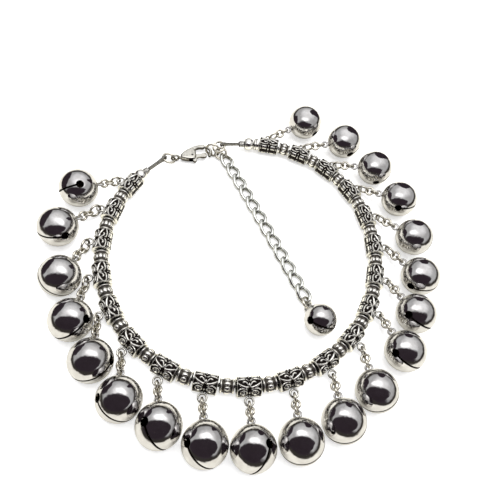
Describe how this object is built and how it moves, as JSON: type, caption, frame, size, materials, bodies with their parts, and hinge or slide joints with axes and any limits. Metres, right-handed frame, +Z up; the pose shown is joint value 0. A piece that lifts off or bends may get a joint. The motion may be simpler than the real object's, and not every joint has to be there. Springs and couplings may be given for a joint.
{
  "type": "bell anklet",
  "caption": "Silver-coloured anklet: tubular scrollwork beads on a wire, each with a round jingle bell on small rings, closed by a lobster clasp with a short extender chain.",
  "frame": {"origin": "centre of the bounding box, on the surface the anklet lies on", "axes": "+Z up from the surface, +Y towards the clasp, +X to the right as pictured"},
  "size_m": [0.1033, 0.1088, 0.01],
  "materials": {
    "cast_scrollwork": "cast relief, black tarnish in the recesses",
    "bell_silver": "polished mirror",
    "bead_silver": "polished, tarnished grooves",
    "dull_wire": "dull",
    "ring_silver": "polished",
    "clasp_silver": "polished",
    "pellet_steel": "plain"
  },
  "bodies": {
    "anklet": {"hanger_bead_01": "cast_scrollwork", "hanger_bead_02": "cast_scrollwork", "hanger_bead_03": "cast_scrollwork", "hanger_bead_04": "cast_scrollwork", "hanger_bead_05": "cast_scrollwork", "hanger_bead_06": "cast_scrollwork", "hanger_bead_07": "cast_scrollwork", "hanger_bead_08": "cast_scrollwork", "hanger_bead_09": "cast_scrollwork", "hanger_bead_10": "cast_scrollwork", "hanger_bead_11": "cast_scrollwork", "hanger_bead_12": "cast_scrollwork", "hanger_bead_13": "cast_scrollwork", "hanger_bead_14": "cast_scrollwork", "hanger_bead_15": "cast_scrollwork", "hanger_bead_16": "cast_scrollwork", "hanger_bead_17": "cast_scrollwork", "hanger_bead_18": "cast_scrollwork", "hanger_bead_19": "cast_scrollwork", "hanger_bead_20": "cast_scrollwork", "bell_01": "bell_silver", "bell_02": "bell_silver", "bell_03": "bell_silver", "bell_04": "bell_silver", "bell_05": "bell_silver", "bell_06": "bell_silver", "bell_07": "bell_silver", "bell_08": "bell_silver", "bell_09": "bell_silver", "bell_10": "bell_silver", "bell_11": "bell_silver", "bell_12": "bell_silver", "bell_13": "bell_silver", "bell_14": "bell_silver", "bell_15": "bell_silver", "bell_16": "bell_silver", "bell_17": "bell_silver", "bell_18": "bell_silver", "bell_19": "bell_silver", "bell_20": "bell_silver", "end_bell": "bell_silver", "spacers": "bead_silver", "end_bead_left": "bead_silver", "end_bead_right": "bead_silver", "end_washer": "bead_silver", "beading_wire": "dull_wire", "crimps": "dull_wire", "bead_rings": "ring_silver", "bell_rings": "ring_silver", "clasp_ring": "ring_silver", "catch_ring": "ring_silver", "side_ring": "ring_silver", "chain_ring": "ring_silver", "end_ring": "ring_silver", "extender_chain": "ring_silver", "clasp_body": "clasp_silver", "clasp_pin": "clasp_silver", "pellets": "pellet_steel"},
    "lever": {"clasp_lever": "clasp_silver"}
  },
  "joints": [
    {"name": "clasp_lever_hinge", "type": "hinge", "parent": "anklet", "child": "lever", "pos_m": [-0.0218, 0.02806, 0.00142], "axis": [0, 0, 1], "range_deg": [0, 20], "stiffness_Nm_per_rad": 0.0005, "springref_deg": -20.05}
  ]
}
